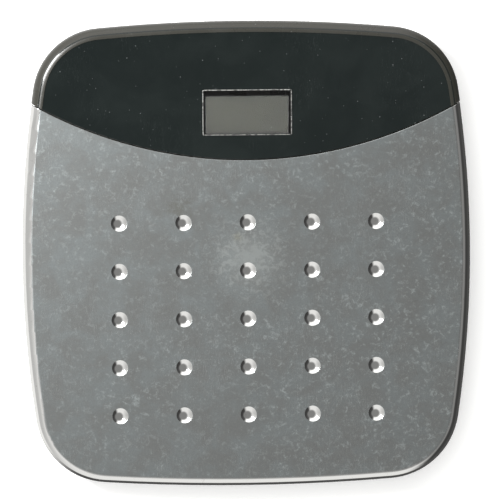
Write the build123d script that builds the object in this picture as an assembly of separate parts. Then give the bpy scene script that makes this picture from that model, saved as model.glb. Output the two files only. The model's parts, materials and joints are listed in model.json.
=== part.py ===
from build123d import *
import os
from math import hypot, pi, radians, sqrt, tan

# A free-standing electronic scale for weighing people: a pressed steel platform with a glossy
# display head, a moulded tray beneath, and a load cell over each of four feet.
# Millimetres. The origin is on the floor, under the middle of the outline.
# +Z is up, +Y is towards the display end, +X is to the right of someone standing on it.

# ---- driving dimensions ----
half_width = 153.6
half_length = 159.4
head_proud = 0.3
side_radius = 760.0
rear_radius = 1145.0
front_radius = 1412.0
rear_corner_radius = 48.3
front_corner_radius = 50.3

tray_low = 6.5
skirt_low = 21.0
parting_height = 26.0
plate_top = 37.0
head_panel_top = 37.5
head_rim_top = 38.0

sheet = 0.8
edge_roll = 6.4
head_wall = 2.5
head_roll = 7.2
head_rim_width = 7.4
tray_wall = 2.4
tray_floor = 2.5
tray_inset = 2.6
tray_round = 8.0

seam_radius = 296.0
seam_centre_y = 361.1
seam_gap = 0.35
fold_depth = 3.6
fold_round = 0.7

dimple_radius = 5.5
dimple_depth = 1.8
dimple_pitch_x = 44.0
dimple_pitch_y = 33.0
dimple_rows = 5
dimple_middle_y = -43.9
dimple_lip = 0.35

foot_x = 106.0
foot_y = 112.0
cup_radius = 14.0
cup_low = 2.5
cup_top = 9.5
pad_radius = 12.4
pad_top = 4.5
stem_radius = 6.0
pin_radius = 1.8
foot_hole_radius = 15.2

cell_side = 34.0
cell_low = 12.0
cell_top = 14.2
cell_rail = 3.2
cell_block_x = 20.0
cell_block_y = 14.0
cell_neck = 10.0
retainer_low = 10.6
retainer_top = 13.0

window_x = 61.5
window_y = 31.5
window_middle_y = 97.2
glass_view_x = 56.0
glass_view_y = 24.6
glass_view_drop = 1.6
lens_thick = 1.6
lens_drop = 0.2

deck_top = 36.0
deck_skin = 2.8
deck_rear_top = 33.2
deck_rear_skin = 2.7
deck_rib = 1.6
deck_rib_low = 20.0

board_x = 86.0
board_y = 46.0
board_low = 25.4
board_thick = 1.6
board_middle_y = 95.0

battery_x = 48.5
battery_y = 26.5
battery_z = 17.5
battery_low = 9.8
battery_middle_y = 30.0
door_thick = 2.0
door_x = 62.0
door_y = 33.0
door_gap = 0.4
door_barrel = 1.4

switch_x = 78.0
switch_y = 52.0

lead_diameter = 1.5
screw_fit = 0.05

# ---- places worked out from them ----
tray_floor_top = tray_low + tray_floor
lens_top = head_panel_top - lens_drop
lens_low = lens_top - lens_thick
board_top = board_low + board_thick
deck_under = deck_top - deck_skin
deck_rear_under = deck_rear_top - deck_rear_skin
plate_under = plate_top - sheet
inner_inset = tray_inset + tray_wall
corners = {
    "front_left": (-1, -1),
    "front_right": (1, -1),
    "rear_left": (-1, 1),
    "rear_right": (1, 1),
}
case_screw_spots = [
    (-64, -138), (64, -138), (-136, -18), (136, -18), (-60, 18), (60, 18), (0, -68),
    (-62, 136), (62, 136), (0, 141),
]
head_screw_spots = [(-54, 122), (54, 122), (-72, 100), (72, 100)]
board_screw_spots = [(x * 39.0, board_middle_y + y * 19.0) for x in (-1, 1) for y in (-1, 1)]
hinge_x = -door_x / 2 + door_barrel
hinge_z = tray_low + 0.1 + door_barrel
glass_top = 34.4
glass_y = window_middle_y - glass_view_drop
battery_ends = (-30.5, -30.5 + battery_x)
battery_sides = (battery_middle_y - battery_y / 2, battery_middle_y + battery_y / 2)
switch_board_low = 14.2
lead_height = 15.0


# ---- shapes used by many pieces ----
def box(x_low, x_high, y_low, y_high, z_low, z_high):
    """A block between two corners."""
    size = (x_high - x_low, y_high - y_low, z_high - z_low)
    return Pos(x_low, y_low, z_low) * Box(*size, align=(Align.MIN,) * 3)


def block(x, y, x_size, y_size, z_low, z_high):
    """A block centred on a place in plan."""
    half_x = x_size / 2
    half_y = y_size / 2
    return box(x - half_x, x + half_x, y - half_y, y + half_y, z_low, z_high)


def rod(x, y, radius, z_low, z_high):
    """An upright cylinder."""
    upright = Cylinder(radius, z_high - z_low, align=(Align.CENTER, Align.CENTER, Align.MIN))
    return Pos(x, y, z_low) * upright


def rounded(x, y, x_size, y_size, corner, z_low, z_high):
    """An upright block with rounded corners in plan."""
    plan = Pos(x, y, z_low) * RectangleRounded(x_size, y_size, corner)
    return extrude(plan, z_high - z_low)


def corner_centre(end_y, end_radius, radius):
    """The centre of a corner arc that runs smoothly from the right side arc to an end arc."""
    side_x = half_width - side_radius
    gap = hypot(side_x, end_y)
    to_side = side_radius - radius
    to_end = end_radius - radius
    along = (to_side**2 - to_end**2 + gap**2) / (2 * gap)
    across = sqrt(to_side**2 - along**2)
    unit_x = -side_x / gap
    unit_y = end_y / gap
    choices = [
        (side_x + along * unit_x + turn * across * unit_y, along * unit_y - turn * across * unit_x)
        for turn in (-1, 1)
    ]
    return Vector(*max(choices))


def outline(inset):
    """The plan outline, moved inwards by inset: four long arcs joined by four corner arcs."""
    side_centre = Vector(half_width - side_radius, 0)
    quarters = []
    for end_y, end_radius, radius in (
        (half_length - head_proud, rear_radius, rear_corner_radius),
        (-half_length, front_radius, front_corner_radius),
    ):
        sign = 1 if end_y > 0 else -1
        end_centre = Vector(0, end_y - sign * end_radius)
        corner = corner_centre(end_centre.Y, end_radius, radius)
        from_side = (corner - side_centre).normalized()
        from_end = (corner - end_centre).normalized()
        quarters.append(
            (
                corner + from_side * (radius - inset),
                corner + (from_side + from_end).normalized() * (radius - inset),
                corner + from_end * (radius - inset),
                Vector(0, end_y - sign * inset),
            )
        )
    rear, front = quarters

    def mirrored(point):
        return Vector(-point.X, point.Y)

    right_middle = Vector(half_width - inset, 0)
    edges = [
        ThreePointArc(front[0], right_middle, rear[0]),
        ThreePointArc(rear[0], rear[1], rear[2]),
        ThreePointArc(rear[2], rear[3], mirrored(rear[2])),
        ThreePointArc(mirrored(rear[2]), mirrored(rear[1]), mirrored(rear[0])),
        ThreePointArc(mirrored(rear[0]), mirrored(right_middle), mirrored(front[0])),
        ThreePointArc(mirrored(front[0]), mirrored(front[1]), mirrored(front[2])),
        ThreePointArc(mirrored(front[2]), front[3], front[2]),
        ThreePointArc(front[2], front[1], front[0]),
    ]
    return make_face(edges)


def slab(inset, low, high, top_round=0.0, bottom_round=0.0):
    """A solid over the whole outline, with its top or bottom edge rounded."""
    solid = extrude(Pos(0, 0, low) * outline(inset), high - low, dir=(0, 0, 1))
    if top_round:
        solid = fillet(solid.edges().group_by(Axis.Z)[-1], top_round)
    if bottom_round:
        solid = fillet(solid.edges().group_by(Axis.Z)[0], bottom_round)
    return solid


def seam_disc(grow, low, high):
    """The round region behind the seam, grown by a distance."""
    return rod(0, seam_centre_y, seam_radius + grow, low, high)


def screw(x, y, head_radius, head_low, head_high, shank_radius, tip):
    """A pan-head screw pointing up, with a cross recess."""
    head = rod(x, y, head_radius, head_low, head_high)
    head = fillet(head.edges().group_by(Axis.Z)[0], (head_high - head_low) * 0.45)
    shank = rod(x, y, shank_radius, head_high, tip)
    shank = chamfer(shank.edges().group_by(Axis.Z)[-1], shank_radius * 0.5)
    slot = 0.32 * head_radius
    arm = 1.2 * head_radius
    depth = head_low + 0.45 * (head_high - head_low)
    solid = head + shank
    solid -= block(x, y, arm, slot, head_low - 1, depth)
    solid -= block(x, y, slot, arm, head_low - 1, depth)
    return solid


def save(name, shape):
    """Write one sub-part."""
    export_step(shape, f"parts/{name}.step")


def on_seam(edge):
    """Whether an edge of the platform block lies on the wall that faces the head."""
    middle = edge @ 0.5
    reach = hypot(middle.X, middle.Y - seam_centre_y)
    return abs(reach - seam_radius - seam_gap) < 0.01


def dimple_places():
    """The middles of the dimples in plan."""
    span = range(-(dimple_rows // 2), dimple_rows // 2 + 1)
    return [(i * dimple_pitch_x, dimple_middle_y + j * dimple_pitch_y) for j in span for i in span]


# ---- the platform and the head ----
def platform_plate():
    """The pressed steel platform: rolled edge, folded seam and dished dimples."""
    outer = slab(0, skirt_low, plate_top, top_round=edge_roll)
    outer -= seam_disc(seam_gap, skirt_low - 1, plate_top + 1)
    folded = [edge for edge in outer.edges() if on_seam(edge) and edge.center().Z > skirt_low + 0.1]
    outer = fillet(folded, fold_round)
    inner = slab(sheet, skirt_low - 1, plate_under, top_round=edge_roll - sheet)
    lip = seam_disc(seam_gap + sheet, plate_top - fold_depth, plate_top)
    plate = outer - (inner - lip)
    ball = (dimple_radius**2 + dimple_depth**2) / (2 * dimple_depth)
    ball_height = plate_top - dimple_depth + ball
    dish_low = plate_top - dimple_depth - sheet - 1
    for x, y in dimple_places():
        under = block(x, y, 4 * dimple_radius, 4 * dimple_radius, dish_low, plate_under + sheet / 2)
        plate += (Pos(x, y, ball_height) * Sphere(ball + sheet)) & under
    for x, y in dimple_places():
        plate -= Pos(x, y, ball_height) * Sphere(ball)
    lips = [
        edge
        for edge in plate.edges().filter_by(GeomType.CIRCLE)
        if edge.center().Z > plate_top - 0.01 and abs(edge.radius - dimple_radius) < 0.05
    ]
    return fillet(lips, dimple_lip)


def head_cover():
    """The glossy moulded head: a raised rounded rim, a flat panel and the display window."""
    outer = slab(-head_proud, skirt_low, head_rim_top, top_round=head_roll)
    outer &= seam_disc(0, skirt_low, head_rim_top)
    panel = slab(head_rim_width - head_proud, head_panel_top, head_rim_top + 1)
    outer -= panel
    seam_edge = [
        edge
        for edge in outer.edges().filter_by(GeomType.CIRCLE)
        if abs(edge.radius - seam_radius) < 0.01 and abs(edge.center().Z - head_panel_top) < 0.01
    ]
    outer = fillet(seam_edge, 0.4)
    inner = slab(head_wall - head_proud, skirt_low - 1, head_panel_top - head_wall, top_round=3.5)
    inner_front = seam_disc(-2.0, skirt_low - 1, head_rim_top)
    below_lip = seam_disc(0, skirt_low - 1, deck_rear_top)
    cover = outer - (inner & (inner_front + below_lip))
    cover += [
        rod(x, y, 3.6, deck_rear_top, head_panel_top - head_wall + 0.1)
        for x, y in head_screw_spots
    ]
    cover -= [rod(x, y, 1.25 + screw_fit, deck_rear_top - 1, 36.4) for x, y in head_screw_spots]
    pocket = (window_x, window_y, 1.2, lens_low, head_rim_top)
    cover -= rounded(0, window_middle_y, *pocket)
    view_y = window_middle_y - glass_view_drop
    cover -= block(0, view_y, glass_view_x + 1, glass_view_y + 1, skirt_low, lens_low + 1)
    return cover


def display_lens():
    """The clear window, let in just below the panel."""
    lens = rounded(0, window_middle_y, window_x - 0.3, window_y - 0.3, 1.05, lens_low, lens_top)
    return chamfer(lens.edges().group_by(Axis.Z)[-1], 0.25)


# ---- the structure ----
def cell_zone(x, y, low, high):
    """The room that one load cell and its retainer take."""
    return block(x, y, 56, 44, low, high)


def rib_grid(low, high):
    """Crossed stiffening ribs that run between the dimples."""
    reach = 170
    lines_x = [(i + 0.5) * dimple_pitch_x for i in range(-3, 3)]
    lines_y = [dimple_middle_y + (j + 0.5) * dimple_pitch_y for j in range(-3, 3)]
    ribs = [box(x - deck_rib / 2, x + deck_rib / 2, -reach, reach, low, high) for x in lines_x]
    ribs += [box(-reach, reach, y - deck_rib / 2, y + deck_rib / 2, low, high) for y in lines_y]
    return ribs


def deck_frame():
    """The ribbed moulding that carries the platform, the head and the load cells."""
    deck = slab(tray_inset, parting_height, deck_rear_top, top_round=1.5)
    deck += slab(tray_inset, parting_height + 1, deck_top, top_round=3.0) - seam_disc(2.2, 0, 60)
    hollow = slab(inner_inset, parting_height - 1, deck_rear_under, top_round=1.0)
    hollow_front = slab(inner_inset, parting_height - 1, deck_under, top_round=1.0)
    deck -= hollow + (hollow_front - seam_disc(2.2 + deck_rib, 0, 60))

    room = slab(inner_inset + 0.4, deck_rib_low, deck_under + 0.5) - seam_disc(2.2, 0, 60)
    ribs = Part() + rib_grid(deck_rib_low, deck_under + 0.5)
    ribs &= room
    keep_out = [block(0, battery_middle_y, 78, 40, 0, deck_under)]
    keep_out += [block(switch_x, switch_y, 34, 24, 0, deck_under)]
    keep_out += [cell_zone(sx * foot_x, sy * foot_y, 0, deck_under) for sx, sy in corners.values()]
    deck += ribs - keep_out
    deck -= [rod(x, y, 6.9, deck_top - 1.9, deck_top + 1) for x, y in dimple_places()]

    for sx, sy in corners.values():
        x = sx * foot_x
        y = sy * foot_y
        top = (deck_rear_under if sy > 0 else deck_under) + 0.5
        post = block(x, y, cell_side + 4, cell_side + 4, cell_top, top)
        post += [rod(x + s * 22, y, 3.6, retainer_top, top) for s in (-1, 1)]
        post -= block(x, y, cell_side - 7, cell_side - 7, cell_top - 1, top - 0.5)
        post -= block(x, y, cell_side + 0.6, cell_side + 0.6, 0, cell_top)
        post -= [rod(x + s * 22, y, 1.2 + screw_fit, retainer_top - 1, 22) for s in (-1, 1)]
        notch_y = y + sy * 10.5
        inward = x - sx * 17
        post -= block(inward, notch_y, 10, 5, cell_top - 1, cell_top + 4)
        deck += post

    for x, y in case_screw_spots:
        top = (deck_rear_under if hypot(x, y - seam_centre_y) < seam_radius else deck_under) + 0.5
        deck += rod(x, y, 4.4, deck_rib_low, top)
        deck -= rod(x, y, 1.5 + screw_fit, deck_rib_low - 1, 30)

    for x, y in board_screw_spots:
        deck += rod(x, y, 3.2, board_top, deck_rear_under + 0.5)
        deck -= rod(x, y, 1.1 + screw_fit, board_top - 1, deck_rear_under)
    for x, y in head_screw_spots:
        deck -= rod(x, y, 1.5, deck_rear_under - 1, deck_rear_top + 1)
    deck -= block(0, glass_y, 70, 39, deck_rear_under - 1, deck_rear_top + 1)
    return deck


def plate_tape():
    """Strips of double-sided tape that bond the steel platform to the deck."""
    strips = []
    for j in range(-2, 4):
        y = dimple_middle_y + (j - 0.5) * dimple_pitch_y
        strips.append(block(0, y, 216, 12, deck_top, plate_under))
    return Part() + strips


def base_tray():
    """The black tray that closes the scale from beneath."""
    tray = slab(tray_inset, tray_low, parting_height, bottom_round=tray_round)
    tray -= slab(inner_inset, tray_floor_top, parting_height + 1, bottom_round=5.6)
    for x, y in case_screw_spots:
        tray += rod(x, y, 5.2, tray_floor_top - 1, deck_rib_low)
        tray -= rod(x, y, 1.65, tray_low - 1, deck_rib_low + 1)
        tray -= rod(x, y, 3.6, tray_low - 1, 17)
    for sx, sy in corners.values():
        x = sx * foot_x
        y = sy * foot_y
        tray += rod(x, y, foot_hole_radius + 2.2, tray_floor_top - 1, 10.2)
        tray -= rod(x, y, foot_hole_radius, tray_low - 1, 12)
        ring = rod(x, y, foot_hole_radius + 3.8, tray_low - 1, tray_low + 0.8)
        tray -= ring - rod(x, y, foot_hole_radius + 1.6, tray_low - 2, tray_low + 2)
    ribs = []
    for x in (-88, -44, 0, 44, 88):
        ribs.append(box(x - 0.9, x + 0.9, -86, -4, tray_floor_top - 1, 12))
    for y in (-86, -4):
        ribs.append(box(-88.9, 88.9, y - 0.9, y + 0.9, tray_floor_top - 1, 12))
    keep_out = [rod(x, y, 5.2, 0, 20) for x, y in case_screw_spots]
    tray += (Part() + ribs) - keep_out
    tray -= block(0, -45, 66, 36, tray_low - 1, tray_low + 0.4)

    y_low = battery_middle_y - door_y / 2 - door_gap
    y_high = battery_middle_y + door_y / 2 + door_gap
    x_low = -door_x / 2 - door_gap
    x_high = door_x / 2 + door_gap
    wall = 1.8
    bay = box(x_low - wall, x_high + wall, y_low - wall, y_high + wall, tray_floor_top - 1, 24)
    tray += bay
    tray -= box(x_low, x_high, y_low, y_high, tray_low - 1, 25)
    for sign in (-1, 1):
        wall_y = battery_middle_y + sign * (door_y / 2 + door_gap)
        pin = Pos(hinge_x, wall_y, hinge_z) * Rot(90, 0, 0) * Cylinder(1.05, 3.2)
        tray -= pin
    tray -= box(x_high - 1, x_high + 4, battery_middle_y - 5, battery_middle_y + 5, 12.5, 25)
    latch = rod(x_high + 3, battery_middle_y, 9, tray_low - 1, tray_low + 1.0)
    tray -= latch - box(x_low, x_high, y_low, y_high, 0, 25)

    tray += [block(switch_x + s * 13, switch_y, 5, 12, tray_floor_top - 1, 14.2) for s in (-1, 1)]
    tray -= [rod(switch_x + s * 13, switch_y, 0.95 + screw_fit, 10, 15) for s in (-1, 1)]
    tray -= rounded(switch_x, switch_y, 18, 9, 3, tray_low - 1, tray_low + 1.2)
    tray -= block(switch_x, switch_y, 8.6, 3.8, tray_low - 1, tray_floor_top + 1)
    return tray


# ---- one corner: load cell, its holder and the foot ----
def load_cell(x, y, sy):
    """A stamped half-bridge frame: a square ring with an inner block on a short neck."""
    outer = rounded(x, y, cell_side, cell_side, 2, cell_low, cell_top)
    window = cell_side - 2 * cell_rail
    ring = outer - rounded(x, y, window, window, 1.5, cell_low - 1, cell_top + 1)
    tongue = rounded(x, y, cell_block_x, cell_block_y, 1.2, cell_low, cell_top)
    neck_end = y + sy * (window / 2 + 0.5)
    neck_low = min(y, neck_end)
    neck_high = max(y, neck_end)
    tongue += box(x - cell_neck / 2, x + cell_neck / 2, neck_low, neck_high, cell_low, cell_top)
    tongue -= rod(x, y, pin_radius + 0.5, cell_low - 1, cell_top + 1)
    return ring + tongue


def strain_gauge(x, y, sy):
    """The gauge on the neck, under its blob of sealant."""
    gauge = rounded(x, y + sy * 10.5, 8, 5, 1.2, cell_top, cell_top + 2)
    return fillet(gauge.edges().group_by(Axis.Z)[-1], 0.7)


def cell_retainer(x, y):
    """The plastic holder that keeps a load cell against the deck."""
    holder = rounded(x, y, cell_side + 3.6, cell_side + 3.6, 2.5, retainer_low, retainer_top)
    holder += rounded(x, y, 52, 12, 4, retainer_low, retainer_top)
    holder -= rounded(x, y, cell_side + 0.4, cell_side + 0.4, 2.2, cell_low, retainer_top + 1)
    holder -= rod(x, y, 14.2, retainer_low - 1, retainer_top)
    for s in (-1, 1):
        holder -= rod(x + s * 22, y, 1.4, retainer_low - 1, retainer_top + 1)
        holder -= rod(x + s * 22, y, 2.6, retainer_low - 1, retainer_low + 0.8)
    return holder


def foot_cup(x, y):
    """The hard part of a foot: a shallow cup with a stem that presses on the load cell."""
    cup = rod(x, y, cup_radius, cup_low, cup_top)
    cup = fillet(cup.edges().group_by(Axis.Z)[-1], 1.2)
    cup -= rod(x, y, pad_radius, cup_low - 1, pad_top)
    cup += rod(x, y, stem_radius, cup_top - 1, cell_low)
    pin = rod(x, y, pin_radius, cell_low - 0.5, cell_top + 1.4)
    return cup + chamfer(pin.edges().group_by(Axis.Z)[-1], 0.5)


def foot_pad(x, y):
    """The rubber sole of a foot, with a ring groove in its tread."""
    pad = rod(x, y, pad_radius, 0, pad_top)
    pad = fillet(pad.edges().group_by(Axis.Z)[0], 1.0)
    groove = rod(x, y, 9.2, -1, 0.8) - rod(x, y, 7.8, -2, 2)
    return pad - groove


# ---- the display and the electronics ----
def lcd_panel():
    """The display's two glass plates; the upper one overhangs along both long sides."""
    upper = block(0, glass_y, glass_view_x + 4, glass_view_y + 7.4, glass_top - 1.1, glass_top)
    lower = block(0, glass_y, glass_view_x + 4, glass_view_y + 2.4, glass_top - 2.2, glass_top - 1.1)
    return upper + lower


def lcd_reflector():
    """The reflecting film under the display."""
    size = (glass_view_x + 2, glass_view_y + 1)
    return block(0, glass_y, *size, glass_top - 2.5, glass_top - 2.2)


def lcd_holder():
    """The frame that holds the display over the board."""
    holder = rounded(0, glass_y, 67, 36.6, 1.5, board_top, glass_top + 0.5)
    holder -= block(0, glass_y, glass_view_x + 4.4, glass_view_y + 7.8, board_top - 1, glass_top + 0.05)
    return holder - block(0, glass_y, glass_view_x, glass_view_y, board_top, glass_top + 1)


def zebra_strips():
    """Two rubber strips that carry the display's signals up from the board."""
    reach = (glass_view_y + 7.4) / 2 - 1.2
    return Part() + [
        block(0, glass_y + s * reach, 54, 1.8, board_top, glass_top - 1.1) for s in (-1, 1)
    ]


def main_board():
    """The circuit board, hung under the deck."""
    board = rounded(0, board_middle_y, board_x, board_y, 2, board_low, board_top)
    return board - [rod(x, y, 1.3, board_low - 1, board_top + 1) for x, y in board_screw_spots]


def controller_blob():
    """The sealed processor on the board's underside."""
    blob = rod(0, board_middle_y + 2, 8.5, board_low - 1.8, board_low)
    return fillet(blob.edges().group_by(Axis.Z)[0], 1.6)


def timing_crystal():
    """The clock crystal's can, lying on the board."""
    can = Pos(-20, board_middle_y + 12, board_low - 1.6) * Rot(0, 90, 0) * Cylinder(1.5, 8)
    return fillet(can.edges(), 0.4) + block(-20, board_middle_y + 12, 1, 1.2, board_low - 1, board_low)


def board_capacitors():
    """Three round capacitors on the board's underside."""
    cans = []
    for x, radius, drop in ((14, 2.5, 7), (22, 3.15, 8), (-12, 2, 5)):
        can = rod(x, board_middle_y + 15, radius, board_low - drop, board_low)
        cans.append(fillet(can.edges().group_by(Axis.Z)[0], 0.5))
    return Part() + cans


def wake_sensor():
    """The vibration sensor that wakes the scale when it is tapped."""
    can = rod(-22, board_middle_y - 8, 2.6, board_low - 10, board_low)
    return fillet(can.edges().group_by(Axis.Z)[0], 0.7)


# ---- the unit switch ----
def unit_switch_housing():
    """The slide switch's case, open beneath for its slider."""
    case = block(switch_x, switch_y, 14, 7, 9.6, switch_board_low)
    case -= block(switch_x, switch_y, 11.6, 5.2, 10.2, 13.5)
    return case - block(switch_x, switch_y, 8.6, 3.6, 9, 11)


def unit_switch_slider():
    """The three-position slider that a finger pushes from beneath."""
    slider = block(switch_x, switch_y, 6.6, 4.8, 10.4, 13.3)
    knob = block(switch_x, switch_y, 4, 3, tray_low + 0.5, 10.4)
    for i in (-1, 0, 1):
        knob -= block(switch_x + i * 1.2, switch_y, 0.5, 4, tray_low, tray_low + 0.9)
    return slider + knob


def unit_switch_board():
    """The small board that the switch is soldered to."""
    top = switch_board_low + 1.2
    board = rounded(switch_x, switch_y, 33, 12, 1.5, switch_board_low, top)
    return board - [rod(switch_x + s * 13, switch_y, 1.1, 10, 20) for s in (-1, 1)]


# ---- the battery ----
def battery():
    """The nine-volt block battery."""
    can = box(*battery_ends, *battery_sides, battery_low, battery_low + battery_z)
    can = fillet(can.edges().filter_by(Axis.X), 2.4)
    return fillet(can.edges().group_by(Axis.X)[0] + can.edges().group_by(Axis.X)[-1], 0.6)


def battery_stud(side, radius, length):
    """An upright round on the battery's end face, for a stud or for the socket that grips it."""
    place = Pos(battery_ends[1], battery_middle_y + side * 6.35, battery_low + battery_z / 2)
    return place * Rot(0, 90, 0) * Cylinder(radius, length, align=(Align.CENTER, Align.CENTER, Align.MIN))


def battery_terminals():
    """The battery's two studs."""
    return Part() + [battery_stud(-1, 2.9, 2.8), battery_stud(1, 4.0, 2.8)]


def battery_snap():
    """The snap connector over the studs."""
    low = battery_low + battery_z / 2 - 6.5
    ends = (battery_ends[1] + 0.3, battery_ends[1] + 6.3)
    cap = box(*ends, battery_middle_y - 12.2, battery_middle_y + 12.2, low, low + 13)
    cap = fillet(cap.edges().filter_by(Axis.X), 3)
    return cap - [battery_stud(-1, 3.05, 3.2), battery_stud(1, 4.15, 3.2)]


def battery_door():
    """The hinged battery door, flush with the tray's underside."""
    low = tray_low + 0.1
    side = door_y / 2
    door = box(hinge_x, door_x / 2, battery_middle_y - side, battery_middle_y + side, low, low + door_thick)
    barrel = Pos(hinge_x, battery_middle_y, hinge_z) * Rot(90, 0, 0)
    door += barrel * Cylinder(door_barrel, door_y)
    door += barrel * Cylinder(0.95, door_y + 2 * door_gap + 2.2)
    for i in range(5):
        x = door_x / 2 - 5 - i * 2.2
        door -= block(x, battery_middle_y, 1.0, 16 - 2 * i, low - 1, low + 0.7)
    for s in (-1, 1):
        door += block(-4, battery_middle_y + s * 8, 30, 1.6, low + door_thick - 0.5, battery_low - 0.2)
    return door


# ---- leads and screws ----
def rise(x, y):
    """The last two points of a lead that turns up to the board's underside."""
    return [(x, y, lead_height), (x, y, board_low)]


def cell_lead(sx, sy):
    """The lead from a strain gauge to the main board."""
    route = [(sx * (foot_x - 4), sy * (foot_y + 10.5), lead_height)]
    if sy > 0:
        route += [(sx * 76, foot_y + 10.5, lead_height), *rise(sx * 34, 100)]
    else:
        route += [(sx * 74, -foot_y - 10.5, lead_height), (sx * 50, -60, lead_height)]
        route += [(sx * 48, 34, lead_height), *rise(sx * 31, 84)]
    return lead(route)


def battery_lead():
    """The two-core lead from the snap connector to the main board."""
    start = (battery_ends[1] + 6.3, battery_middle_y, lead_height)
    return lead([start, (43, battery_middle_y, lead_height), *rise(24, 82)])


def switch_lead():
    """The lead from the unit switch's board to the main board."""
    height = switch_board_low + 0.6
    edge = switch_x - 16.5
    return lead([(edge, switch_y, height), (54, switch_y, height), (40, 88, height), (40, 88, board_low)])


def lead(route):
    """A thin insulated lead held along its whole route, on straight runs and tangent arcs."""
    places = [Vector(*point) for point in route]
    radii = []
    for before, here, after in zip(places, places[1:], places[2:]):
        run = min((here - before).length, (after - here).length)
        half_turn = radians((here - before).get_angle(after - here)) / 2
        radii.append(0.45 * run / tan(half_turn))
    path = FilletPolyline(*route, radius=radii)
    section = Plane(origin=path @ 0, z_dir=path % 0) * Circle(lead_diameter / 2)
    tube = sweep(section, path=path)
    expected = pi * (lead_diameter / 2) ** 2 * path.length
    drawn_radii = [round(radius, 1) for radius in radii]
    print(f"lead {path.length:.0f} mm long, radii {drawn_radii}, volume {tube.volume / expected:.4f}")
    return tube


def case_screws():
    """The screws that close the tray against the deck."""
    return Part() + [screw(x, y, 3.2, 15.2, 17, 1.5, 29) for x, y in case_screw_spots]


def head_screws():
    """The screws that hold the head cover down to the deck."""
    head = (2.4, deck_rear_under - 1.5, deck_rear_under)
    return Part() + [screw(x, y, *head, 1.25, 36.2) for x, y in head_screw_spots]


def board_screws():
    """The screws that hold the main board under the deck."""
    return Part() + [screw(x, y, 2.2, board_low - 1.5, board_low, 1.1, 29.8) for x, y in board_screw_spots]


def retainer_screws():
    """The screws that hold the load cells' retainers."""
    spots = [(sx * foot_x + s * 22, sy * foot_y) for sx, sy in corners.values() for s in (-1, 1)]
    head = (2.3, retainer_low - 0.7, retainer_low + 0.8)
    return Part() + [screw(x, y, *head, 1.2, 21) for x, y in spots]


def switch_screws():
    """The screws that hold the unit switch's board down to the tray."""
    top = switch_board_low + 1.2
    upright = [screw(switch_x + s * 13, switch_y, 1.9, top - 1.4, top, 0.95, top + 4.6) for s in (-1, 1)]
    return Part() + [piece.mirror(Plane.XY.offset(top)) for piece in upright]


def blank_label():
    """A plain sticker in the tray's shallow recess, with nothing printed on it."""
    return rounded(0, -45, 64, 34, 3, tray_low + 0.2, tray_low + 0.4)


def main():
    """Write every sub-part."""
    os.makedirs("parts", exist_ok=True)
    whole = [
        platform_plate, head_cover, display_lens, deck_frame, plate_tape, base_tray, lcd_panel,
        lcd_reflector, lcd_holder, zebra_strips, main_board, controller_blob, timing_crystal,
        board_capacitors, wake_sensor, unit_switch_housing, unit_switch_slider, unit_switch_board,
        battery, battery_terminals, battery_snap, battery_door, battery_lead, switch_lead,
        case_screws, head_screws, board_screws, retainer_screws, switch_screws, blank_label,
    ]
    for make in whole:
        save(make.__name__, make())
    for corner, (sx, sy) in corners.items():
        x = sx * foot_x
        y = sy * foot_y
        save(f"{corner}_load_cell", load_cell(x, y, sy))
        save(f"{corner}_strain_gauge", strain_gauge(x, y, sy))
        save(f"{corner}_cell_retainer", cell_retainer(x, y))
        save(f"{corner}_foot_cup", foot_cup(x, y))
        save(f"{corner}_foot_pad", foot_pad(x, y))
        save(f"{corner}_cell_lead", cell_lead(sx, sy))


if __name__ == "__main__":
    main()
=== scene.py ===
import json
from math import cos, radians, sin, tan

import bpy
from mathutils import Matrix, Vector


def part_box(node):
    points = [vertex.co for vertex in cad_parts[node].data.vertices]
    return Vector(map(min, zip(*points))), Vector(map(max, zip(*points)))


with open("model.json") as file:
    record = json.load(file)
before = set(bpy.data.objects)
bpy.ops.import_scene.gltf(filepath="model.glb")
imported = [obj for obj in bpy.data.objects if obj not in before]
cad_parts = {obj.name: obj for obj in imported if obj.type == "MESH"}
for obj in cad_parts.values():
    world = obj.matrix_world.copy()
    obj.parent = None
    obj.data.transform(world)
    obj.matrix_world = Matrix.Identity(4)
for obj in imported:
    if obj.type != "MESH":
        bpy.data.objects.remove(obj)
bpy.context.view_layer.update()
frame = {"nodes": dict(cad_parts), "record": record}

# ---- the view ----
VIEW_TARGET = Vector((0.0011, 0.0034, 0.0370))
VIEW_DISTANCE = 3.0
VIEW_TILT_LEFT = radians(4.3)
VIEW_TILT_REAR = radians(4.3)
VIEW_ROLL = radians(0.30)
VIEW_WIDTH = 0.3410
SENSOR_WIDTH = 36.0

# ---- the finishes' own measures, in metres ----
PLATE_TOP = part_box("platform_plate")[1].z
PANEL_DEPTH = 0.0005
PANEL_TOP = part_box("head_cover")[1].z - PANEL_DEPTH
FLOOR_SPREAD = 12.0
FLOOR_DROP = 0.0002
# each mark's place in plan, its reach, its tint and its strength
# the first three are stains; the fourth, a broad pale patch at the middle, is a painted highlight
# standing in for a lamp's soft reflection. They colour the flat steel only, so the second, which lies
# in a dimple, hardly shows
STAINS_AND_GLOW = (
    (-0.047, 0.032, 0.010, (0.27, 0.27, 0.24, 1), 0.55),
    (-0.088, -0.076, 0.005, (0.26, 0.28, 0.10, 1), 0.8),
    (-0.007, 0.012, 0.004, (0.40, 0.38, 0.25, 1), 0.5),
    (0.000, -0.003, 0.030, (0.62, 0.66, 0.65, 1), 0.6),
)

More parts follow.
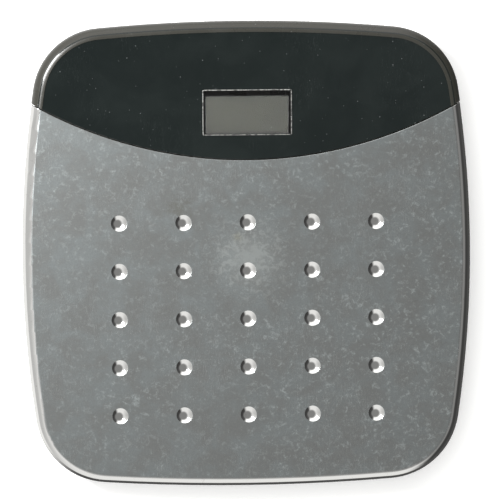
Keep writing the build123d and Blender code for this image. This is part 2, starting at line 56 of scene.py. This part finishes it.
# ---- the light, as radiance where 1 is a white surface ----
WORLD_OVERHEAD = 0.30
WORLD_DARK_LEAN = (0.24, 0.0, 0.97)
WORLD_OVERHEAD_STEP = (0.72, 0.90)
WORLD_REAR = 1.9
WORLD_FRONT = 1.1
WORLD_REAR_STEP = (-0.2, 0.8)
WORLD_LEFT = 0.62
WORLD_LEFT_STEP = (0.2, 0.9)
WORLD_RIGHT = 0.06
WORLD_RIGHT_STEP = (0.30, 0.62)
WORLD_BELOW = (0.10, 1.2)
WORLD_BELOW_LEAN = (-0.75, 0.65)
WORLD_BELOW_STEP = (-0.35, 0.35)
WORLD_HORIZON_STEP = (-0.06, 0.04)
FLOOR_GLOW = 0.32

# ---- the lamps: places and sizes in metres, power in watts ----
FILL_PLACE = (-0.4, 0.3, 2.6)
FILL_SIZE = 2.4
FILL_POWER = 30.0
SIDE_PLACE = (-0.62, 0.42, 0.95)
SIDE_SIZE = 0.35
SIDE_POWER = 19.0


# ---- small helpers for shader nodes ----
class Nodes:
    """The node tree of a material or a world, with short calls for what it needs."""

    def __init__(self, owner):
        owner.use_nodes = True
        self.tree = owner.node_tree
        self.tree.nodes.clear()

    def add(self, kind, links=None, **settings):
        """A node with its properties set and its inputs linked or given values."""
        node = self.tree.nodes.new(kind)
        for key, value in settings.items():
            setattr(node, key, value)
        for socket, value in (links or {}).items():
            self.feed(node.inputs[socket], value)
        return node

    def feed(self, socket, value):
        """Link an output into a socket, or set the socket's own value."""
        if isinstance(value, bpy.types.NodeSocket):
            self.tree.links.new(value, socket)
        else:
            socket.default_value = value

    def math(self, operation, first, second=0.0):
        return self.add("ShaderNodeMath", {0: first, 1: second}, operation=operation).outputs[0]

    def ramp(self, value, low, high, to_low=0.0, to_high=1.0):
        """A smooth step from to_low, at low, to to_high, at high."""
        links = {
            "Value": value,
            "From Min": low,
            "From Max": high,
            "To Min": to_low,
            "To Max": to_high,
        }
        return self.add("ShaderNodeMapRange", links, interpolation_type="SMOOTHSTEP").outputs[0]


class Shader(Nodes):
    """A material under construction, its patterns laid out in the object's own coordinates."""

    def __init__(self, name):
        self.material = bpy.data.materials.new(name)
        super().__init__(self.material)
        self.output = self.add("ShaderNodeOutputMaterial")
        self.coordinates = self.add("ShaderNodeTexCoord").outputs["Object"]

    def stretched(self, scale, turn=0.0):
        """The object's coordinates, scaled per axis and turned in plan."""
        links = {"Vector": self.coordinates, "Scale": scale, "Rotation": (0.0, 0.0, turn)}
        return self.add("ShaderNodeMapping", links).outputs[0]

    def noise(self, scale, detail=2.0, roughness=0.5, vector=None, distortion=0.0):
        links = {
            "Vector": vector or self.coordinates,
            "Scale": scale,
            "Detail": detail,
            "Roughness": roughness,
            "Distortion": distortion,
        }
        return self.add("ShaderNodeTexNoise", links).outputs["Fac"]

    def blend(self, factor, first, second):
        """A colour between two colours."""
        node = self.add("ShaderNodeMix", {"Factor": factor}, data_type="RGBA")
        self.feed(node.inputs[6], first)
        self.feed(node.inputs[7], second)
        return node.outputs[2]

    def specks(self, scale, size, share):
        """Small round specks: 1 inside, on a share of the cells of a grid."""
        cells = self.add("ShaderNodeTexVoronoi", {"Vector": self.coordinates, "Scale": scale})
        inside = self.ramp(cells.outputs["Distance"], size, size * 0.4)
        chosen = self.math("GREATER_THAN", self.channel(cells.outputs["Color"], 0), 1.0 - share)
        return self.math("MULTIPLY", inside, chosen)

    def channel(self, colour, index):
        return self.add("ShaderNodeSeparateColor", {0: colour}).outputs[index]

    def height(self):
        return self.add("ShaderNodeSeparateXYZ", {0: self.coordinates}).outputs[2]

    def hairlines(self, turn, fineness, length, share):
        """Broken hairline scratches along one direction in plan."""
        lines = self.noise(1.0, 1.0, vector=self.stretched((fineness, 1.0 / length, 1.0), turn))
        patches = self.noise(22.0, 2.0, vector=self.stretched((1.0, 1.0, 1.0), turn * 2.0 + 1.0))
        thin = self.ramp(lines, 0.5 - share, 0.5 - share * 0.55)
        thin = self.math("MULTIPLY", thin, self.ramp(lines, 0.5, 0.5 - share * 0.45))
        return self.math("MULTIPLY", thin, self.ramp(patches, 0.52, 0.68))

    def bump(self, height, strength, distance, normal=None):
        links = {"Height": height, "Strength": strength, "Distance": distance}
        if normal is not None:
            links["Normal"] = normal
        return self.add("ShaderNodeBump", links).outputs[0]

    def finish(self, **inputs):
        """The surface shader, with its sockets by name."""
        surface = self.add("ShaderNodeBsdfPrincipled")
        for socket, value in inputs.items():
            self.feed(surface.inputs[socket.replace("_", " ")], value)
        self.tree.links.new(surface.outputs[0], self.output.inputs["Surface"])
        return self.material


# ---- materials ----
def stainless():
    """Stainless sheet: a speckled flat with wear, stains and a painted highlight at its middle; a
    polished rolled edge and polished dimples.
    """
    s = Shader("stainless_sheet")
    flat = s.ramp(s.height(), PLATE_TOP - 0.00012, PLATE_TOP - 0.00002)
    grain = s.noise(1100.0, 2.0, 0.6)
    blotch = s.noise(260.0, 4.0, 0.75, distortion=0.5)
    clouds = s.noise(48.0, 5.0, 0.7, distortion=0.4)
    wear = s.ramp(s.noise(9.0, 2.0), 0.35, 0.65)
    scratches = s.hairlines(radians(12), 700.0, 0.010, 0.012)
    for turn, length in ((radians(78), 0.008), (radians(52), 0.012), (radians(-38), 0.010)):
        scratches = s.math("MAXIMUM", scratches, s.hairlines(turn, 700.0, length, 0.012))
    pale = s.math("MULTIPLY", s.ramp(blotch, 0.52, 0.68), s.ramp(wear, 0.0, 1.0, 0.4, 0.8))
    dark = s.math("MULTIPLY", s.ramp(blotch, 0.42, 0.30), s.ramp(wear, 0.0, 1.0, 0.3, 0.6))
    wear_and_glow = s.blend(s.ramp(clouds, 0.36, 0.64), (0.335, 0.345, 0.34, 1), (0.345, 0.375, 0.38, 1))
    wear_and_glow = s.blend(pale, wear_and_glow, (0.60, 0.65, 0.65, 1))
    wear_and_glow = s.blend(dark, wear_and_glow, (0.28, 0.29, 0.28, 1))
    wear_and_glow = s.blend(s.ramp(grain, 0.40, 0.62, 0.0, 0.45), wear_and_glow, (0.30, 0.315, 0.31, 1))
    # stains, and one pale patch at the middle that is a painted highlight, not a stain
    for x, y, reach, tint, strength in STAINS_AND_GLOW:
        ends = {0: s.coordinates, 1: (x, y, PLATE_TOP)}
        away = s.add("ShaderNodeVectorMath", ends, operation="DISTANCE").outputs["Value"]
        ragged = s.ramp(blotch, 0.3, 0.7, -reach * 0.5, reach * 0.5)
        spread = s.math("ADD", away, ragged)
        wear_and_glow = s.blend(s.ramp(spread, reach, 0.0, 0.0, strength), wear_and_glow, tint)
    wear_and_glow = s.blend(s.math("MULTIPLY", scratches, 0.6), wear_and_glow, (0.85, 0.88, 0.88, 1))
    grime = s.ramp(s.noise(300.0, 4.0, 0.7), 0.60, 0.75, 0.0, 0.35)
    polished = s.blend(grime, (0.70, 0.70, 0.69, 1), (0.36, 0.34, 0.31, 1))
    colour = s.blend(flat, polished, wear_and_glow)
    satin = s.ramp(clouds, 0.3, 0.7, 0.345, 0.365)
    satin = s.math("SUBTRACT", satin, s.math("MULTIPLY", scratches, 0.08))
    polish = s.ramp(s.noise(90.0, 3.0), 0.4, 0.7, 0.05, 0.10)
    rough = s.add("ShaderNodeMix", {0: flat, 2: polish, 3: satin}).outputs[0]
    texture = s.math("ADD", s.math("MULTIPLY", grain, 0.7), s.math("MULTIPLY", blotch, 0.5))
    normal = s.bump(s.math("MULTIPLY", texture, flat), 0.35, 0.00010)
    normal = s.bump(s.noise(55.0, 1.0), 0.10, 0.0004, normal)
    return s.finish(Base_Color=colour, Metallic=1.0, Roughness=rough, Normal=normal)


def gloss_black():
    """Black moulding: a polished panel and a satin rim, with dust and faint scratches."""
    s = Shader("gloss_black_moulding")
    off_panel = s.math("ABSOLUTE", s.math("SUBTRACT", s.height(), PANEL_TOP))
    rim = s.ramp(off_panel, 0.00008, 0.00020)
    smears = s.noise(26.0, 4.0, 0.6, distortion=0.4)
    dust = s.math("MAXIMUM", s.specks(330.0, 0.16, 0.05), s.specks(560.0, 0.18, 0.04))
    scratches = s.hairlines(radians(24), 900.0, 0.012, 0.012)
    scratches = s.math("MAXIMUM", scratches, s.hairlines(radians(-62), 900.0, 0.010, 0.012))
    marks = s.math("MAXIMUM", dust, s.math("MULTIPLY", scratches, 0.25))
    body = s.blend(s.ramp(smears, 0.35, 0.7), (0.0035, 0.0060, 0.0058, 1), (0.0060, 0.0090, 0.0086, 1))
    # the rim is painted a lighter warm grey than the panel: painted sheen for the light its rolled
    # edge reflects; its satin roughness is the finish
    body = s.blend(rim, body, (0.024, 0.0235, 0.019, 1))
    colour = s.blend(s.math("MULTIPLY", marks, 0.55), body, (0.12, 0.13, 0.13, 1))
    gloss = s.ramp(smears, 0.35, 0.7, 0.05, 0.11)
    satin = s.ramp(smears, 0.3, 0.7, 0.24, 0.32)
    rough = s.add("ShaderNodeMix", {0: rim, 2: gloss, 3: satin}).outputs[0]
    rough = s.math("ADD", rough, s.math("MULTIPLY", marks, 0.3))
    normal = s.bump(s.noise(70.0, 1.0), 0.03, 0.0003)
    return s.finish(Base_Color=colour, Roughness=rough, IOR=1.49, Normal=normal)


def moulded(name, dark, light, rough=(0.45, 0.6), grain=2600.0, depth=0.00004):
    """A moulded plastic with a fine eroded texture and slight colour variation."""
    s = Shader(name)
    cloud = s.noise(30.0, 3.0)
    erosion = s.noise(grain, 2.0, 0.7)
    colour = s.blend(s.ramp(cloud, 0.35, 0.65), (*dark, 1), (*light, 1))
    roughness = s.ramp(cloud, 0.3, 0.7, *rough)
    return s.finish(Base_Color=colour, Roughness=roughness, Normal=s.bump(erosion, 0.5, depth))


def metal(name, dark, light, rough=(0.18, 0.32), grain=900.0):
    """A plated or drawn metal, lightly worn."""
    s = Shader(name)
    cloud = s.noise(140.0, 3.0)
    fine = s.noise(grain, 2.0)
    colour = s.blend(s.ramp(cloud, 0.35, 0.65), (*dark, 1), (*light, 1))
    roughness = s.ramp(cloud, 0.3, 0.7, *rough)
    normal = s.bump(fine, 0.15, 0.00003)
    return s.finish(Base_Color=colour, Metallic=1.0, Roughness=roughness, Normal=normal)


def clear_window():
    """The clear window over the display, dusty, with a broken grey band painted along its edge as a
    highlight.
    """
    s = Shader("clear_window")
    lens_low, lens_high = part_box("display_lens")
    middle = (lens_low + lens_high) / 2
    half = (lens_high - lens_low) / 2
    from_middle = s.add("ShaderNodeVectorMath", {0: s.coordinates, 1: middle}, operation="SUBTRACT")
    parts = s.add("ShaderNodeSeparateXYZ", {0: from_middle.outputs["Vector"]})
    near = [
        s.ramp(s.math("ABSOLUTE", parts.outputs[axis]), half[axis] - 0.0008, half[axis] - 0.0003)
        for axis in (0, 1)
    ]
    # a broken grey band along the window's edge: a painted highlight, made partly opaque; the same
    # mask also roughens the glass there
    edge = s.math("MAXIMUM", *near)
    edge = s.math("MULTIPLY", edge, s.ramp(s.noise(700.0, 2.0), 0.42, 0.60, 0.15, 1.0))
    dust = s.math("MAXIMUM", s.specks(300.0, 0.12, 0.05), edge)
    return s.finish(
        Base_Color=s.blend(edge, (0.93, 0.94, 0.92, 1), (0.30, 0.30, 0.27, 1)),
        Transmission_Weight=s.math("SUBTRACT", 1.0, s.math("MULTIPLY", edge, 0.8)),
        Roughness=s.ramp(dust, 0.0, 1.0, 0.02, 0.5),
        IOR=1.49,
    )


def display_glass():
    """The unlit display: olive grey, with the faint cloudiness of its polariser."""
    s = Shader("display_glass")
    cloud = s.noise(60.0, 3.0, 0.6)
    fine = s.noise(2600.0, 1.0)
    colour = s.blend(s.ramp(cloud, 0.3, 0.7), (0.022, 0.023, 0.013, 1), (0.036, 0.036, 0.022, 1))
    return s.finish(Base_Color=colour, Roughness=0.4, Normal=s.bump(fine, 0.05, 0.000004))


def circuit_board():
    """Green board with copper tracks under the mask."""
    s = Shader("circuit_board")
    cells = s.add(
        "ShaderNodeTexVoronoi", {"Vector": s.coordinates, "Scale": 300.0}, distance="MANHATTAN"
    )
    tracks = s.ramp(cells.outputs["Distance"], 0.25, 0.32)
    colour = s.blend(tracks, (0.012, 0.11, 0.035, 1), (0.02, 0.17, 0.06, 1))
    return s.finish(Base_Color=colour, Roughness=0.35, Normal=s.bump(tracks, 0.3, 0.00005))


materials = {
    "stainless": stainless(),
    "gloss_black": gloss_black(),
    "window": clear_window(),
    "lcd": display_glass(),
    "reflector": metal("reflecting_film", (0.3, 0.3, 0.26), (0.36, 0.36, 0.31), (0.4, 0.5)),
    "display_frame": moulded("display_frame_moulding", (0.008,) * 3, (0.012,) * 3, (0.35, 0.45)),
    "black_moulding": moulded("black_textured_moulding", (0.014, 0.015, 0.015), (0.02, 0.021, 0.021)),
    "deck_moulding": moulded("deck_moulding", (0.03,) * 3, (0.04,) * 3),
    "natural_moulding": moulded("natural_nylon", (0.60, 0.58, 0.52), (0.68, 0.66, 0.60)),
    "foam_tape": moulded("foam_tape", (0.6, 0.6, 0.56), (0.7, 0.7, 0.66), (0.8, 0.9), 1800.0, 0.0001),
    "elastomer": moulded("contact_rubber", (0.02,) * 3, (0.035,) * 3, (0.6, 0.7)),
    "circuit_board": circuit_board(),
    "black_epoxy": moulded("cured_epoxy", (0.008,) * 3, (0.012,) * 3, (0.2, 0.3), 500.0),
    "bright_metal": metal("nickel_plate", (0.62, 0.6, 0.56), (0.72, 0.70, 0.66)),
    "capacitor_sleeve": moulded(
        "capacitor_sleeve", (0.01, 0.012, 0.05), (0.014, 0.017, 0.07), (0.2, 0.3)
    ),
    "cell_steel": metal("stamped_steel", (0.42, 0.43, 0.44), (0.5, 0.51, 0.52), (0.3, 0.42)),
    "sealant": moulded("white_sealant", (0.72, 0.72, 0.70), (0.8, 0.8, 0.78), (0.4, 0.5), 700.0),
    "foot_rubber": moulded("foot_rubber", (0.016,) * 3, (0.028,) * 3, (0.7, 0.85), 2200.0, 0.00006),
    "lead_sheath": moulded("lead_sheath", (0.22, 0.012, 0.01), (0.28, 0.018, 0.014), (0.35, 0.45)),
    "battery_can": moulded("battery_jacket", (0.03, 0.034, 0.04), (0.04, 0.045, 0.05), (0.2, 0.3)),
    "screw_steel": metal("zinc_plate", (0.5, 0.5, 0.52), (0.6, 0.6, 0.62)),
    "label_film": moulded("label_film", (0.58, 0.58, 0.57), (0.64, 0.64, 0.63), (0.35, 0.45), 900.0),
}


def dress_nodes():
    """Give every CAD node the finish of its material slot."""
    for part in frame["record"]["subparts"]:
        node = frame["nodes"][part["node"]]
        for place in node.material_slots:
            place.material = materials[part["material_slot"]]


# ---- the surroundings ----
def make_floor():
    """A plain pale floor, clear from beneath."""
    s = Shader("pale_floor")
    colour = s.blend(s.noise(6.0, 2.0), (0.90, 0.90, 0.895, 1), (0.93, 0.93, 0.925, 1))
    material = s.finish(
        Base_Color=colour,
        Roughness=0.9,
        Specular_IOR_Level=0.0,
        Emission_Color=(1.0, 1.0, 0.995, 1),
        Emission_Strength=FLOOR_GLOW,
    )
    below = s.add("ShaderNodeNewGeometry").outputs["Backfacing"]
    surface = s.output.inputs["Surface"].links[0].from_socket
    clear = s.add("ShaderNodeBsdfTransparent").outputs[0]
    seen = s.add("ShaderNodeMixShader", {0: below, 1: surface, 2: clear}).outputs[0]
    s.tree.links.new(seen, s.output.inputs["Surface"])
    mesh = bpy.data.meshes.new("floor")
    half = FLOOR_SPREAD / 2
    low = -FLOOR_DROP
    corners = [(-half, -half, low), (half, -half, low), (half, half, low), (-half, half, low)]
    mesh.from_pydata(corners, [], [(0, 1, 2, 3)])
    mesh.materials.append(material)
    floor = bpy.data.objects.new("floor", mesh)
    bpy.context.scene.collection.objects.link(floor)
    floor.visible_glossy = False


def make_lights():
    """A broad fill that only diffuse surfaces catch, and a soft lamp at the rear left."""
    for name, place, size, power, glossy in (
        ("fill", FILL_PLACE, FILL_SIZE, FILL_POWER, False),
        ("side_lamp", SIDE_PLACE, SIDE_SIZE, SIDE_POWER, True),
    ):
        data = bpy.data.lights.new(name, "AREA")
        data.size = size
        data.energy = power
        lamp = bpy.data.objects.new(name, data)
        lamp.location = place
        lamp.rotation_mode = "QUATERNION"
        lamp.rotation_quaternion = Vector(place).to_track_quat("Z", "Y")
        lamp.visible_glossy = glossy
        bpy.context.scene.collection.objects.link(lamp)


def make_world():
    """Soft white surroundings: dim overhead, dark to the right, and dark below the front and right."""
    world = bpy.data.worlds.new("studio")
    bpy.context.scene.world = world
    w = Nodes(world)
    towards = w.add("ShaderNodeTexCoord").outputs["Generated"]

    def lean(x, y, z=0.0):
        """How far a direction leans towards another."""
        links = {0: towards, 1: (x, y, z)}
        return w.add("ShaderNodeVectorMath", links, operation="DOT_PRODUCT").outputs["Value"]

    height = w.add("ShaderNodeSeparateXYZ", {0: towards}).outputs[2]
    around = w.ramp(lean(0.0, 1.0), *WORLD_REAR_STEP, WORLD_FRONT, WORLD_REAR)
    right = w.ramp(lean(1.0, 0.0), *WORLD_RIGHT_STEP, 1.0, WORLD_RIGHT)
    left = w.ramp(lean(-1.0, 0.0), *WORLD_LEFT_STEP, 1.0, WORLD_LEFT)
    around = w.math("MULTIPLY", w.math("MULTIPLY", around, right), left)
    overhead = w.ramp(lean(*WORLD_DARK_LEAN), *WORLD_OVERHEAD_STEP)
    above = w.add("ShaderNodeMix", {0: overhead, 2: around, 3: WORLD_OVERHEAD}).outputs[0]
    below = w.ramp(lean(*WORLD_BELOW_LEAN), *WORLD_BELOW_STEP, *WORLD_BELOW)
    horizon = w.ramp(height, *WORLD_HORIZON_STEP)
    light = w.add("ShaderNodeMix", {0: horizon, 2: below, 3: above}).outputs[0]
    background = w.add("ShaderNodeBackground", {"Color": (1.0, 0.995, 0.98, 1.0), "Strength": light})
    output = w.add("ShaderNodeOutputWorld")
    w.tree.links.new(background.outputs[0], output.inputs["Surface"])


def make_camera():
    """A long lens, looking almost straight down."""
    data = bpy.data.cameras.new("camera")
    data.sensor_width = SENSOR_WIDTH
    data.lens = SENSOR_WIDTH * VIEW_DISTANCE / VIEW_WIDTH
    data.clip_start = 0.1
    data.clip_end = 100.0
    camera = bpy.data.objects.new("camera", data)
    bpy.context.scene.collection.objects.link(camera)
    back = Vector((-tan(VIEW_TILT_LEFT), tan(VIEW_TILT_REAR), 1.0)).normalized()
    up = Vector((sin(VIEW_ROLL), cos(VIEW_ROLL), 0.0))
    right = up.cross(back).normalized()
    turned = Matrix((right, back.cross(right), back)).transposed()
    camera.matrix_world = Matrix.Translation(VIEW_TARGET + back * VIEW_DISTANCE) @ turned.to_4x4()
    bpy.context.scene.camera = camera


dress_nodes()
make_floor()
make_lights()
make_world()
make_camera()
bpy.context.scene.view_settings.view_transform = "Standard"
